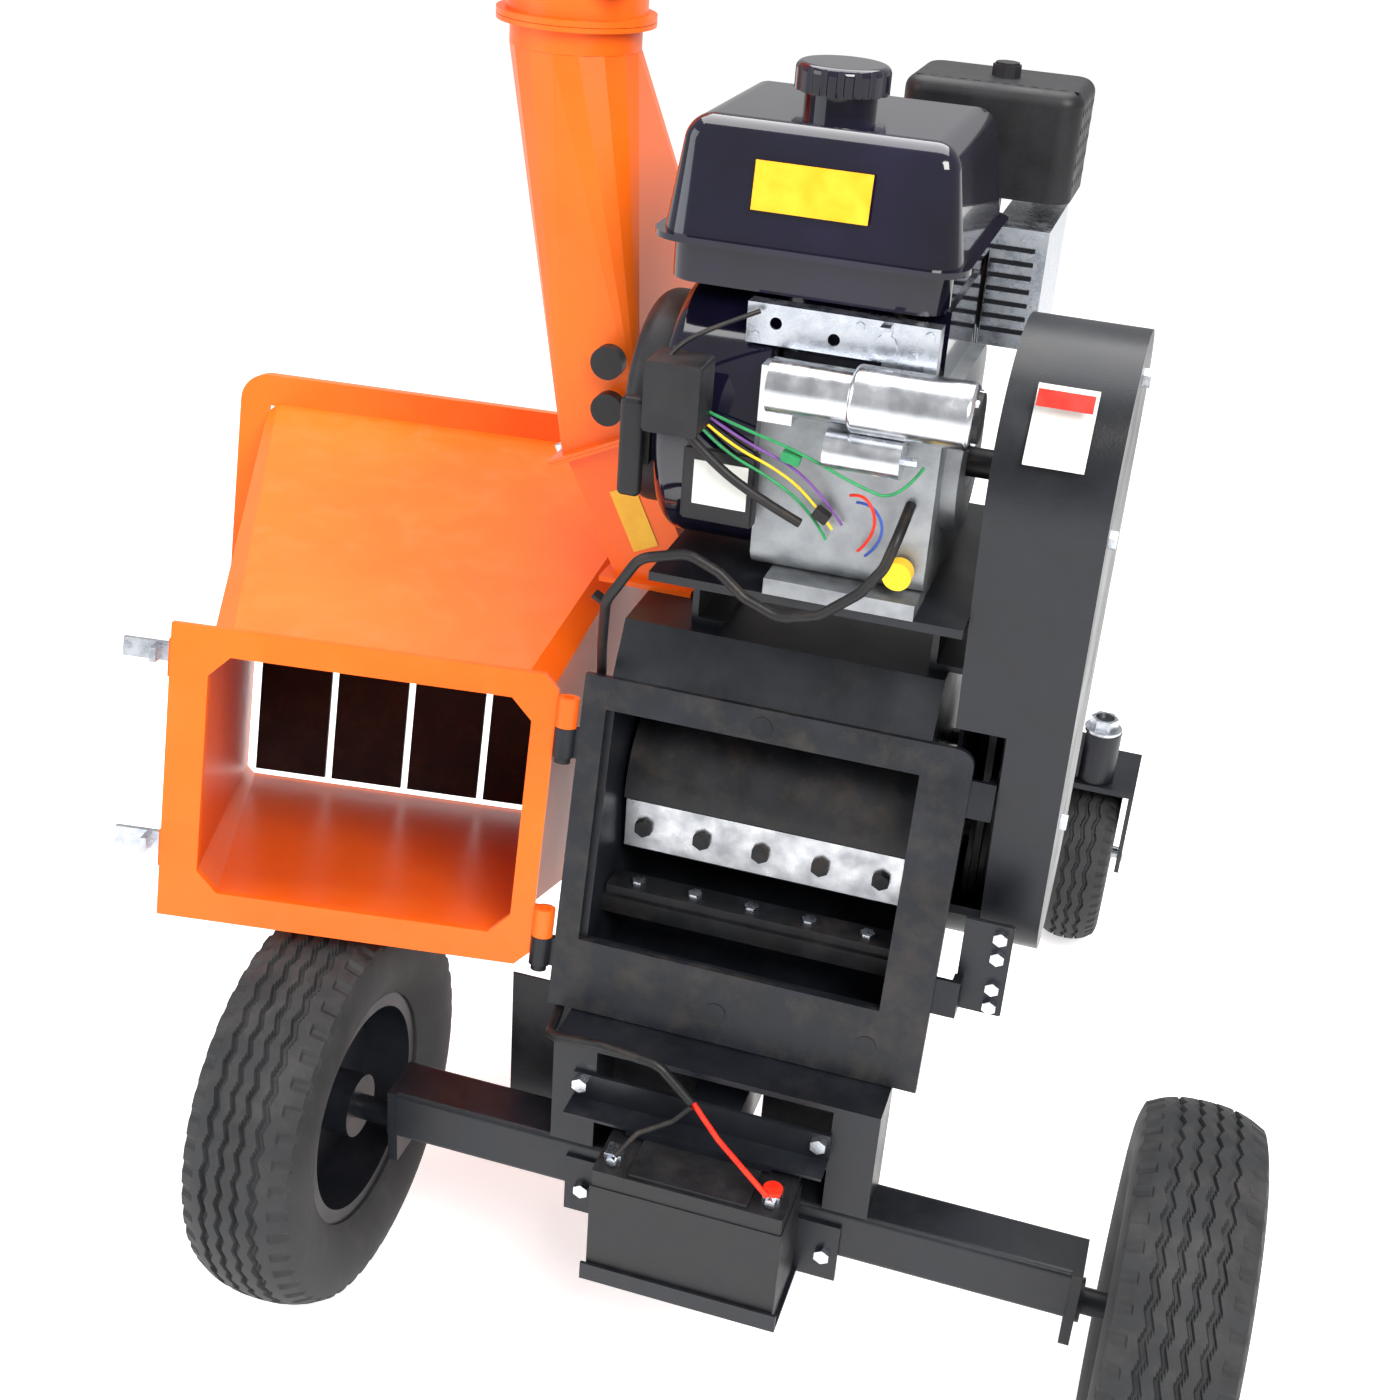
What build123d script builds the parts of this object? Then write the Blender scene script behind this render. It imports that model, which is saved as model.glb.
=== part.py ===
"""Towable petrol wood chipper with its feed hopper swung open.

Frame: X to the right, Y forward to the tow hitch, Z up, ground at zero,
axle along X at Y zero. Millimetres.
"""
from build123d import *
from math import cos, pi, radians, sin
import os

os.makedirs("parts", exist_ok=True)

# ---- driving sizes -------------------------------------------------------
wheel_radius = 203.5
wheel_width = 118.0
rim_radius = 108.0
track = 842.0
axle_centre_x = 16.0
axle_tube = 55.0
axle_wall = 5.0
axle_z = 228.0
stub_radius = 12.5

flange_tilt = 12.1
flange_thickness = 8.0
flange_left = -178.0
flange_right = 180.0
flange_height = 328.0
flange_foot_y = 16.5
flange_foot_z = 377.0
mouth_left = -155.0
mouth_right = 135.0
mouth_bottom = 71.0
mouth_top = 298.0

wall = 6.0
housing_front = 500.0
housing_top = 742.0
housing_floor = 380.0

drum_y = 203.0
drum_z = 555.0
drum_radius = 90.0
drum_length = 272.0
shaft_radius = 17.5

platform_z = 828.0
platform_thickness = 8.0
shaft_rise = 106.0
engine_y = 150.0

guard_left = 160.0
guard_right = 258.0
guard_wall = 3.0

hopper_angle = 167.0
hinge_x = -191.0
hopper_width = 368.0
hopper_depth = 470.0
throat_left = 32.0
throat_right = 332.0
throat_bottom = 62.0
throat_top = 295.0
hopper_mouth_left = -55.0
hopper_mouth_right = 415.0
hopper_mouth_bottom = 14.0
hopper_mouth_top = 455.0
sheet = 3.0

duct_width = 76.0
duct_depth = 300.0
duct_y = 350.0
collar_y = 270.0
duct_lean = 26.0
duct_top_x = -212.0
duct_top_z = 872.0
collar_radius = 62.0
collar_x = -277.0
collar_z = 1232.0

battery_width = 181.0
battery_depth = 76.0
battery_height = 130.0
battery_x = 5.0
battery_z = 178.0

caster_x = 262.0
caster_y = 890.0
caster_radius = 130.0
caster_width = 82.0
caster_trail = 60.0
fork_top = 272.0
hitch_y = 1440.0
tow_z = 300.0
tow_tube = 50.0

gap = 0.5

# ---- planes the tilted pieces share --------------------------------------
tilt = radians(flange_tilt)
up_flange = Vector(0, sin(tilt), cos(tilt))
rearward = Vector(0, -cos(tilt), sin(tilt))
face_plane = Plane(
    origin=(0, flange_foot_y, flange_foot_z), x_dir=(1, 0, 0), z_dir=rearward
)
swing = radians(hopper_angle)
hopper_out = Vector(cos(swing), 0, 0) + rearward * sin(swing)
funnel_out = Vector(sin(swing), 0, 0) * -1 + rearward * cos(swing)
hinge_foot = Vector(hinge_x, flange_foot_y, flange_foot_z)


def hopper_plane(depth):
    """Plane of the open hopper: x away from the hinge, y up the flange."""
    return Plane(
        origin=hinge_foot + funnel_out * depth,
        x_dir=hopper_out,
        z_dir=hopper_out.cross(up_flange),
    )


pieces = {}


def save(part, label):
    """Keep a finished piece under its name."""
    pieces[label] = part


def block(x0, x1, y0, y1, z0, z1, mode=Mode.ADD):
    """Box between two corners, in the current part."""
    centre = ((x0 + x1) / 2, (y0 + y1) / 2, (z0 + z1) / 2)
    with Locations(centre):
        Box(x1 - x0, y1 - y0, z1 - z0, mode=mode)


def rod(start, direction, radius, length, mode=Mode.ADD):
    """Round bar from a start point along a direction."""
    with BuildSketch(Plane(origin=start, z_dir=direction)) as section:
        Circle(radius)
    extrude(section.sketch, amount=length, mode=mode)


def hexagon(start, direction, radius, length):
    """Six-sided head or nut from a start point along a direction."""
    with BuildSketch(Plane(origin=start, z_dir=direction)) as section:
        RegularPolygon(radius, 6)
    extrude(section.sketch, amount=length)


def rect(x0, x1, y0, y1, mode=Mode.ADD):
    """Rectangle between two corners, in the current sketch."""
    with Locations(((x0 + x1) / 2, (y0 + y1) / 2)):
        Rectangle(x1 - x0, y1 - y0, mode=mode)


# ---- axle, legs and wheels -----------------------------------------------
half_axle = track / 2 - wheel_width / 2 - 30.0
axle_top = axle_z + axle_tube / 2
axle_left = axle_centre_x - half_axle
axle_right = axle_centre_x + half_axle
end_plate = 10.0

with BuildPart() as axle_beam:
    with BuildSketch(Plane.YZ.offset(axle_left)):
        with Locations((0, axle_z)):
            RectangleRounded(axle_tube, axle_tube, 6)
            RectangleRounded(axle_tube - 2 * axle_wall, axle_tube - 2 * axle_wall, 2, mode=Mode.SUBTRACT)
    extrude(amount=2 * half_axle)

with BuildPart() as stub_axles:
    for side, x in ((-1, axle_left), (1, axle_right)):
        block(
            min(x, x + side * end_plate), max(x, x + side * end_plate), -26, 26, wheel_radius - 34,
            axle_top - 2
        )
        rod((x + side * (end_plate - 1), 0, wheel_radius), (side, 0, 0), stub_radius, 118)
        rod((x + side * (end_plate - 1), 0, wheel_radius), (side, 0, 0), stub_radius + 8, 5)
        rod((x + side * (end_plate + 116.6), 0, wheel_radius), (side, 0, 0), stub_radius + 10, 6)
    add(axle_beam.part)
save(stub_axles.part, "axle_beam")

leg_width = 43.0
leg_x = (-154.0, 158.0)
chamber_foot = flange_foot_z - 2.0
with BuildPart() as frame_legs:
    for x, side in zip(leg_x, (1, -1)):
        inner = x + side * leg_width
        block(min(x, inner), max(x, inner), -27.5, 27.5, axle_top, chamber_foot)
    for x, side in zip(leg_x, (1, -1)):
        near = x + side * 5
        far = x + side * (leg_width - 5)
        block(
            min(near, far), max(near, far), -22.5, 28, axle_top - 1, chamber_foot + 1, mode=Mode.SUBTRACT
        )
    block(leg_x[0], leg_x[1], -27.5, 260, chamber_foot - 6, chamber_foot)
save(frame_legs.part, "frame_legs")


def tyre_profile(radius, width, rim, wall_mm):
    """Half section of a tyre: radius along y, width along x."""
    half = width / 2
    with BuildLine() as outline:
        Polyline((-half * 0.62, rim + gap), (-half * 0.62, rim + 13), (-half * 0.78, rim + 17))
        Spline((-half * 0.78, rim + 17), (-half, (rim + radius) / 2 + 2), (-half * 0.72, radius - 8))
        Spline(
            (-half * 0.72, radius - 8), (-half * 0.62, radius - 3), (0, radius),
            (half * 0.62, radius - 3), (half * 0.72, radius - 8)
        )
        Spline((half * 0.72, radius - 8), (half, (rim + radius) / 2 + 2), (half * 0.78, rim + 17))
        Polyline((half * 0.78, rim + 17), (half * 0.62, rim + 13), (half * 0.62, rim + gap))
        Polyline(
            (half * 0.62, rim + gap), (half * 0.62 - wall_mm, rim + gap),
            (half * 0.62 - wall_mm, rim + 14)
        )
        Polyline(
            (half * 0.62 - wall_mm, rim + 14), (half - wall_mm - 3, (rim + radius) / 2),
            (half * 0.6, radius - wall_mm - 6)
        )
        Polyline(
            (half * 0.6, radius - wall_mm - 6), (-half * 0.6, radius - wall_mm - 6),
            (-half + wall_mm + 3, (rim + radius) / 2)
        )
        Polyline(
            (-half + wall_mm + 3, (rim + radius) / 2), (-half * 0.62 + wall_mm, rim + 14),
            (-half * 0.62 + wall_mm, rim + gap)
        )
        Line((-half * 0.62 + wall_mm, rim + gap), (-half * 0.62, rim + gap))
    make_face(outline.edges())


def rim_profile(rim, width, side, hub, bore, dish):
    """Half section of a pressed wheel with its disc and hub."""
    half = width / 2 * 0.62
    points = [
        (-half - 5, rim - 4), (-half - 5, rim + 12), (-half - 2, rim + 12), (-half - 1, rim),
        (half + 1, rim), (half + 2, rim + 12), (half + 5, rim + 12), (half + 5, rim - 4),
        (dish * side + 3, rim - 4), (dish * side + 3, hub), (half, hub), (half, bore),
        (-half, bore), (-half, hub), (dish * side - 3, hub), (dish * side - 3, rim - 4),
    ]
    with BuildLine() as outline:
        Polyline(*points, close=True)
    make_face(outline.edges())


def wheel_plane(x, y, z):
    """Section plane of a wheel turning on X: x along the axle, y outward."""
    return Plane(origin=(x, y, z), x_dir=(1, 0, 0), z_dir=(0, -1, 0))


hub_radius = 32.0
stud_circle = 50.8
wheel_dish = 12.0
for name, side in (("left", -1), ("right", 1)):
    x = axle_centre_x + side * track / 2
    spin = Axis((x, 0, wheel_radius), (1, 0, 0))
    with BuildPart() as tyre:
        with BuildSketch(wheel_plane(x, 0, wheel_radius)):
            tyre_profile(wheel_radius, wheel_width, rim_radius, 9)
        revolve(axis=spin)
    save(tyre.part, f"{name}_tyre")
    with BuildPart() as rim:
        with BuildSketch(wheel_plane(x, 0, wheel_radius)):
            rim_profile(rim_radius, wheel_width, side, hub_radius, stub_radius + 0.05, wheel_dish)
        revolve(axis=spin)
    with BuildPart() as wheel:
        add(rim.part)
        face = x + side * (wheel_dish + 3)
        for turn in range(4):
            angle = turn * pi / 2 + pi / 4
            spot = (face, stud_circle * cos(angle), wheel_radius + stud_circle * sin(angle))
            hexagon(spot, (side, 0, 0), 11, 11)
    save(wheel.part, f"{name}_rim")

# ---- chamber flange, housing, bed knife ----------------------------------
with BuildPart() as chamber_flange:
    with BuildSketch(face_plane):
        rect(flange_left, flange_right, 0, flange_height)
        rect(mouth_left, mouth_right, mouth_bottom, mouth_top, mode=Mode.SUBTRACT)
    extrude(amount=-flange_thickness)
    corner = chamber_flange.edges().filter_by(Axis((0, 0, 0), tuple(rearward))).sort_by(Axis.Z)[-2:]
    fillet(corner.sort_by(Axis.X)[-1], 15)
save(chamber_flange.part, "chamber_flange")

keeper_spots = (285.0, 97.0)
with BuildPart() as latch_keepers:
    for s in keeper_spots:
        with BuildSketch(face_plane.offset(-flange_thickness)):
            rect(flange_right - 3, flange_right + 22, s - 17, s + 17)
        extrude(amount=flange_thickness - 2)
        with BuildSketch(face_plane.offset(-flange_thickness)):
            rect(flange_right + 14, flange_right + 22, s - 17, s + 17)
        extrude(amount=-16)
    with BuildSketch(face_plane.offset(-flange_thickness - 1)):
        rect(flange_left, flange_right, 0, flange_height)
    extrude(amount=flange_thickness + 2, mode=Mode.SUBTRACT)


def back_of_flange(s):
    """Point (y, z) on the flange's inner face at a height along its slope."""
    y = flange_foot_y + s * sin(tilt) + flange_thickness * cos(tilt)
    z = flange_foot_z + s * cos(tilt) - flange_thickness * sin(tilt)
    return (y, z)


housing_left = mouth_left
housing_right = mouth_right + 5.0
slope_y = 122.0
with BuildPart() as drum_housing:
    lower_rear = back_of_flange(mouth_bottom - 12)
    upper_rear = back_of_flange(flange_height - 1)
    profile = [
        lower_rear, upper_rear, (slope_y, housing_top), (housing_front - 20, housing_top),
        (housing_front, housing_top - 90), (housing_front, drum_z - 40), (270, housing_floor + 40),
        (170, housing_floor), (60, housing_floor),
    ]
    with BuildSketch(Plane.YZ.offset(housing_left)):
        with BuildLine():
            Polyline(*profile, close=True)
        make_face()
    extrude(amount=housing_right - housing_left)
    with BuildSketch(Plane.YZ.offset(housing_left + wall)):
        with BuildLine():
            Polyline(*profile, close=True)
        make_face()
        offset(amount=-wall)
    extrude(amount=housing_right - housing_left - 2 * wall, mode=Mode.SUBTRACT)
    with BuildSketch(face_plane.offset(-flange_thickness + 1)):
        rect(mouth_left + wall, mouth_right - 1, mouth_bottom, mouth_top)
    extrude(amount=-40, mode=Mode.SUBTRACT)
    rod((housing_left - 1, drum_y, drum_z), (1, 0, 0), shaft_radius + 6, 400, mode=Mode.SUBTRACT)
    block(
        -148, -120, duct_y - 60, duct_y + 60 - 28, housing_top - 20, housing_top + 5, mode=Mode.SUBTRACT
    )
save(drum_housing.part, "drum_housing")

bed_y = drum_y - drum_radius - 4.0
bed_z = drum_z - 75.0
with BuildPart() as bed_knife_block:
    block(housing_left + wall, housing_right - wall, 78, bed_y, bed_z - 28, bed_z - 10)

with BuildPart() as bed_knife:
    block(housing_left + wall + 2, housing_right - wall - 2, 82, bed_y + 2, bed_z - 10, bed_z)
    add(bed_knife_block.part)
save(bed_knife.part, "bed_knife")

with BuildPart() as bed_knife_bolts:
    for index in range(5):
        x = -118 + index * 56
        hexagon((x, 94, bed_z), (0, 0, 1), 7, 5)

# ---- drum, knife, bearings, belt drive -----------------------------------
drum_left = (mouth_left + mouth_right) / 2 + 2.5 - drum_length / 2
drum_right = drum_left + drum_length
with BuildPart() as drum:
    rod((drum_left, drum_y, drum_z), (1, 0, 0), drum_radius, drum_length)
    rod((housing_left - 42, drum_y, drum_z), (1, 0, 0), shaft_radius, 452)
    with BuildSketch(Plane.YZ.offset(drum_left - 1)):
        with Locations((drum_y - drum_radius + 2, drum_z - 24)):
            Rectangle(22, 58)
        with Locations((drum_y + drum_radius - 2, drum_z + 24)):
            Rectangle(22, 58)
    extrude(amount=drum_length + 2, mode=Mode.SUBTRACT)

knife_y = drum_y - drum_radius + 13
with BuildPart() as knives:
    block(drum_left + 1, drum_right - 1, knife_y - 8, knife_y, drum_z - 50, drum_z + 1)
    far_y = 2 * drum_y - knife_y
    block(drum_left + 1, drum_right - 1, far_y, far_y + 8, drum_z - 1, drum_z + 50)
save(knives.part, "knives")

with BuildPart() as knife_bolts:
    for index in range(5):
        x = drum_left + 20 + index * 58
        hexagon((x, knife_y - 8, drum_z - 26), (0, -1, 0), 9, 6)
        hexagon((x, far_y + 8, drum_z + 26), (0, 1, 0), 9, 6)
save(knife_bolts.part, "knife_bolts")

bearing_radius = 52.0
with BuildPart() as drum_bearings:
    for x, side in ((housing_left, -1), (housing_right, 1)):
        rod((x, drum_y, drum_z), (side, 0, 0), bearing_radius, 10)
        rod((x, drum_y, drum_z), (side, 0, 0), 36, 30 if side < 0 else 19)
        rod((x - side, drum_y, drum_z), (side, 0, 0), shaft_radius + 0.06, 40, mode=Mode.SUBTRACT)
save(drum_bearings.part, "drum_bearings")

with BuildPart() as bearing_studs:
    for x, side in ((housing_left - 10, -1), (housing_right + 10, 1)):
        for turn in range(4):
            angle = pi / 4 + turn * pi / 2
            y = drum_y + 43.5 * cos(angle)
            z = drum_z + 43.5 * sin(angle)
            hexagon((x, y, z), (side, 0, 0), 7, 7)

guard_back = 4.0
pulley_x = 180.0
pulley_width = 44.0
drum_pulley_radius = 64.0
engine_pulley_radius = 50.0
engine_z = platform_z + shaft_rise
with BuildPart() as drum_pulley:
    rod((pulley_x, drum_y, drum_z), (1, 0, 0), drum_pulley_radius - 9, pulley_width)
    for index in range(4):
        rod((pulley_x + index * 13.0, drum_y, drum_z), (1, 0, 0), drum_pulley_radius, 5)
    rod((pulley_x - 1, drum_y, drum_z), (1, 0, 0), shaft_radius - 0.2, 60, mode=Mode.SUBTRACT)
    add(drum.part)
save(drum_pulley.part, "drum")

with BuildPart() as crankshaft:
    rod((118, engine_y, engine_z), (1, 0, 0), 12.5, 120)
    rod((118, engine_y, engine_z), (1, 0, 0), 22, 4)

with BuildPart() as engine_pulley:
    rod((pulley_x, engine_y, engine_z), (1, 0, 0), engine_pulley_radius - 9, pulley_width)
    for index in range(4):
        rod((pulley_x + index * 13.0, engine_y, engine_z), (1, 0, 0), engine_pulley_radius, 5)
    rod((pulley_x - 1, engine_y, engine_z), (1, 0, 0), 12.3, 60, mode=Mode.SUBTRACT)
    add(crankshaft.part)
save(engine_pulley.part, "crankshaft")


def belt_loop(x, inner_shift, mode):
    """One run of belt round both pulleys, as the hull of two circles."""
    with BuildSketch(Plane.YZ.offset(x)) as loop:
        with Locations((drum_y, drum_z)):
            Circle(drum_pulley_radius - inner_shift)
        with Locations((engine_y, engine_z)):
            Circle(engine_pulley_radius - inner_shift)
        make_hull()
    extrude(loop.sketch, amount=6.4 if mode == Mode.ADD else 8, mode=mode)


with BuildPart() as drive_belts:
    for index in range(3):
        x = pulley_x + 5.8 + index * 13.0
        belt_loop(x, -1.5, Mode.ADD)
        belt_loop(x - 0.8, 8.0, Mode.SUBTRACT)
save(drive_belts.part, "drive_belts")


def guard_outline(grow):
    """Outline of the belt guard in the YZ plane."""
    with Locations((drum_y - 6, drum_z - 5)):
        Circle(92 + grow)
    with Locations((engine_y + 12, engine_z + 8)):
        Circle(118 + grow)
    make_hull()


with BuildPart() as guard_back_plate:
    with BuildSketch(Plane.YZ.offset(guard_left)):
        guard_outline(-guard_wall - gap)
    extrude(amount=guard_back)
    rod((guard_left - 1, drum_y, drum_z), (1, 0, 0), shaft_radius + 6, 10, mode=Mode.SUBTRACT)
    rod((guard_left - 1, engine_y, engine_z), (1, 0, 0), 28, 10, mode=Mode.SUBTRACT)
    for y, z in ((drum_y - 60, drum_z + 60), (drum_y + 40, drum_z + 70)):
        rod((housing_right, y, z), (1, 0, 0), 8, guard_left - housing_right + 1)
    block(guard_left - 1, flange_right + 24, 0, 112, 300, 722, mode=Mode.SUBTRACT)
save(guard_back_plate.part, "guard_back_plate")

with BuildPart() as belt_guard:
    with BuildSketch(Plane.YZ.offset(guard_left)):
        guard_outline(0)
    extrude(amount=guard_right - guard_left)
    with BuildSketch(Plane.YZ.offset(guard_left)):
        guard_outline(-guard_wall)
    extrude(amount=guard_right - guard_left - guard_wall, mode=Mode.SUBTRACT)
    block(guard_left - 1, flange_right + 24, 0, 112, 300, 722, mode=Mode.SUBTRACT)
save(belt_guard.part, "belt_guard")

with BuildPart() as guard_bolts:
    for y, z in (
        (drum_y - 60, drum_z + 60), (engine_y + 12, engine_z + 90), (engine_y - 70, engine_z - 20)
    ):
        hexagon((guard_right, y, z), (1, 0, 0), 8, 6)

# ---- engine platform and engine ------------------------------------------
with BuildPart() as engine_platform:
    block(-112, 158, 45, 330, platform_z - platform_thickness, platform_z)
    for x in (-98, 122):
        block(x, x + 6, 140, 300, housing_top, platform_z - platform_thickness)
        block(x, x + 30, 140, 300, housing_top, housing_top + 6)
save(engine_platform.part, "engine_platform")

case_left = -30.0
case_right = 118.0
case_rear = 62.0
case_front = 262.0
case_top = engine_z + 72.0
with BuildPart() as crankcase:
    block(case_left, case_right, case_rear, case_front, platform_z + 14, case_top)
    fillet(crankcase.edges().filter_by(Axis.X), 18)
    block(case_left + 18, case_right - 2, 44, 300, platform_z, platform_z + 14)
    rod((case_right - 1, engine_y, engine_z), (1, 0, 0), 60, 14)
    rod((case_right - 30, engine_y, engine_z), (1, 0, 0), 12.56, 50, mode=Mode.SUBTRACT)
    rod((case_right, engine_y, engine_z), (1, 0, 0), 23, 20, mode=Mode.SUBTRACT)
save(crankcase.part, "crankcase")

with BuildPart() as oil_cap:
    rod((98, case_rear - 3, platform_z + 36), (0, -1, 0), 12, 14)
    rod((98, case_rear, platform_z + 36), (0, -1, 0), 7, 4)
save(oil_cap.part, "oil_cap")

cylinder_lean = 25.0
with BuildPart() as cylinder:
    base = Plane(
        origin=(case_left + 70, case_front, engine_z + 4), x_dir=(1, 0, 0),
        z_dir=(0, cos(radians(cylinder_lean)), sin(radians(cylinder_lean)))
    )
    with BuildSketch(base.offset(12)) as core:
        Rectangle(88, 96)
    extrude(core.sketch, amount=128)
    with BuildSketch(base.offset(-4)) as neck:
        Rectangle(80, 76)
    extrude(neck.sketch, amount=20)
    for index in range(8):
        with BuildSketch(base.offset(24 + index * 12)) as fin:
            Rectangle(112, 120)
            fillet(fin.vertices(), 14)
        extrude(fin.sketch, amount=3)
    block(-200, 300, 200, case_front + gap / 2, 800, 1100, mode=Mode.SUBTRACT)
save(cylinder.part, "cylinder")

blower_left = -118.0
blower_radius = 112.0
with BuildPart() as blower_housing:
    with BuildSketch(Plane.YZ.offset(blower_left)):
        with Locations((engine_y + 6, engine_z + 12)):
            Circle(blower_radius)
        with Locations((engine_y + 130, engine_z + 60)):
            Circle(62)
        make_hull()
    extrude(amount=case_left - blower_left)
    block(-200, 100, -50, 400, platform_z - 60, platform_z + 4, mode=Mode.SUBTRACT)
    fillet(blower_housing.faces().filter_by(Axis.X).sort_by(Axis.X)[0].edges(), 12)
save(blower_housing.part, "blower_housing")

with BuildPart() as recoil_cover:
    rod((blower_left, engine_y + 6, engine_z + 12), (-1, 0, 0), 92, 34)
    fillet(recoil_cover.faces().filter_by(Axis.X).sort_by(Axis.X)[0].edges(), 14)
    block(blower_left - 30, blower_left - 4, engine_y - 93, engine_y - 68, engine_z - 16, engine_z + 18)
save(recoil_cover.part, "recoil_cover")

with BuildPart() as recoil_grip:
    block(
        blower_left - 27, blower_left - 7, engine_y - 107, engine_y - 93.3, engine_z - 42, engine_z + 44
    )
    fillet(recoil_grip.edges(), 5)
save(recoil_grip.part, "recoil_grip")

tank_left = -142.0
tank_right = 116.0
tank_rear = 78.0
tank_front = 320.0
tank_seam = 1102.0
tank_floor = 1066.0
tank_roof = 1196.0
with BuildPart() as fuel_tank:
    block(tank_left + 14, tank_right - 14, tank_rear + 14, tank_front - 14, tank_floor, tank_seam)
    fillet(fuel_tank.edges().filter_by(Axis.Z), 26)
    with BuildSketch(Plane.XY.offset(tank_seam - 2)) as lip:
        with Locations(((tank_left + tank_right) / 2, (tank_rear + tank_front) / 2)):
            RectangleRounded(tank_right - tank_left, tank_front - tank_rear, 30)
    extrude(lip.sketch, amount=5)
    with BuildSketch(Plane.XY.offset(tank_seam + 3)) as shoulder:
        with Locations(((tank_left + tank_right) / 2, (tank_rear + tank_front) / 2)):
            RectangleRounded(tank_right - tank_left - 14, tank_front - tank_rear - 14, 26)
    extrude(shoulder.sketch, amount=tank_roof - tank_seam - 3, taper=9)
    fillet(fuel_tank.faces().sort_by(Axis.Z)[-1].edges(), 22)
    rod((-21, 200, tank_roof - 1), (0, 0, 1), 30, 14)
    block(-28, 105, 110, 250, case_top, case_top + 62)
save(fuel_tank.part, "fuel_tank")

with BuildPart() as fuel_cap:
    rod((-21, 200, tank_roof + 13 + gap), (0, 0, 1), 39, 22)
    fillet(fuel_cap.faces().sort_by(Axis.Z)[-1].edges(), 6)
    for turn in range(18):
        angle = turn * pi / 9
        spot = (-21 + 41 * cos(angle), 200 + 41 * sin(angle), tank_roof + 10)
        rod(spot, (0, 0, 1), 4, 30, mode=Mode.SUBTRACT)
save(fuel_cap.part, "fuel_cap")

cleaner_x = 84.0
with BuildPart() as air_cleaner:
    block(cleaner_x - 82, cleaner_x + 76, 335, 450, 1112, 1206)
    fillet(air_cleaner.edges().filter_by(Axis.Z), 20)
    fillet(air_cleaner.faces().sort_by(Axis.Z)[-1].edges(), 12)
    block(cleaner_x - 60, cleaner_x + 10, 350, 400, case_top + 35, 1112)
save(air_cleaner.part, "air_cleaner")

with BuildPart() as muffler:
    block(98, 148, 288, 410, 1000, 1085)
    fillet(muffler.edges(), 14)
    block(96.2, 98, 310, 350, 1004, 1040)
save(muffler.part, "muffler")

with BuildPart() as heat_shield:
    block(105, 153, 284, 286, 995, 1098)
    block(151.5, 154, 284, 414, 995, 1099)
    block(105, 154, 284, 414, 1097, 1099.6)
save(heat_shield.part, "heat_shield")

bracket_y = 74.0
with BuildPart() as control_bracket:
    block(-52, 104, bracket_y, bracket_y + 3, 1030, 1063)
    block(-52, 104, bracket_y, bracket_y + 16, 1060, 1063)
    block(60, 104, bracket_y, bracket_y + 16, case_top, 1063)
    rod((-28, bracket_y - 5, 1048), (0, 1, 0), 5, 30, mode=Mode.SUBTRACT)
    rod((20, bracket_y - 5, 1042), (0, 1, 0), 5, 30, mode=Mode.SUBTRACT)
save(control_bracket.part, "control_bracket")

with BuildPart() as throttle_lever:
    rod((62, bracket_y - 0.2, 1044), (0, -1, 0), 9, 3)
    block(58, 66, bracket_y - 3.2, bracket_y - 0.2, 1044, 1062)
    block(58, 66, bracket_y - 14, bracket_y - 0.2, 1059, 1062)
save(throttle_lever.part, "throttle_lever")

starter_y = 74.0
starter_z = 1008.0
with BuildPart() as starter_motor:
    rod((46, starter_y - 30, starter_z), (1, 0, 0), 27, 98)
    fillet(starter_motor.edges().filter_by(GeomType.CIRCLE), 5)
    rod((-20, starter_y - 30, starter_z), (1, 0, 0), 22, 67)
    rod((30, starter_y - 34, starter_z - 42.5), (1, 0, 0), 16, 62)
    block(case_left + 2, 0, 40, case_rear + 4, starter_z - 30, starter_z + 16)
    block(-200, 300, case_rear - gap / 2, 300, 700, 1200, mode=Mode.SUBTRACT)
    block(case_left + 6, case_right - 10, case_rear - 14, case_rear, starter_z - 20, starter_z - 6)
save(starter_motor.part, "starter_motor")

with BuildPart() as regulator_box:
    block(-112, -66, 0, 40, 968, 1026)
    fillet(regulator_box.edges().filter_by(Axis.Y), 4)
    block(-96, -70, 40, 46.8, 972, 982)
save(regulator_box.part, "regulator_box")

# ---- discharge -----------------------------------------------------------
lean = radians(duct_lean)
duct_axis = Vector(-sin(lean), 0, cos(lean))
duct_head = Vector(duct_top_x, duct_y, duct_top_z)
duct_run = (duct_top_z - housing_top - 6) / cos(lean)
duct_foot = duct_head - duct_axis * duct_run
duct_plane = Plane(origin=duct_head, x_dir=(cos(lean), 0, sin(lean)), z_dir=duct_axis)
with BuildPart() as lower_duct:
    with BuildSketch(duct_plane.offset(-duct_run - 60)) as outer:
        Rectangle(duct_width, duct_depth)
    extrude(outer.sketch, amount=duct_run + 60)
    with BuildSketch(duct_plane.offset(-3)) as head_flange:
        Rectangle(duct_width + 28, duct_depth + 28)
    extrude(head_flange.sketch, amount=3)
    with BuildSketch(duct_plane.offset(-duct_run - 70)) as inner:
        Rectangle(duct_width - 2 * sheet, duct_depth - 2 * sheet)
    extrude(inner.sketch, amount=duct_run + 80, mode=Mode.SUBTRACT)
    block(-500, 100, 0, 700, 300, housing_top, mode=Mode.SUBTRACT)
    block(-205, -114, duct_y - duct_depth / 2 - 12, housing_front - 22, housing_top, housing_top + 5)
    block(-148, -118, duct_y - 55, duct_y + 30, housing_top - 1, housing_top + 6, mode=Mode.SUBTRACT)
save(lower_duct.part, "lower_duct")

collar_plane = Plane(origin=(collar_x, collar_y, collar_z - 24), x_dir=(1, 0, 0), z_dir=(0, 0, 1))


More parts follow.
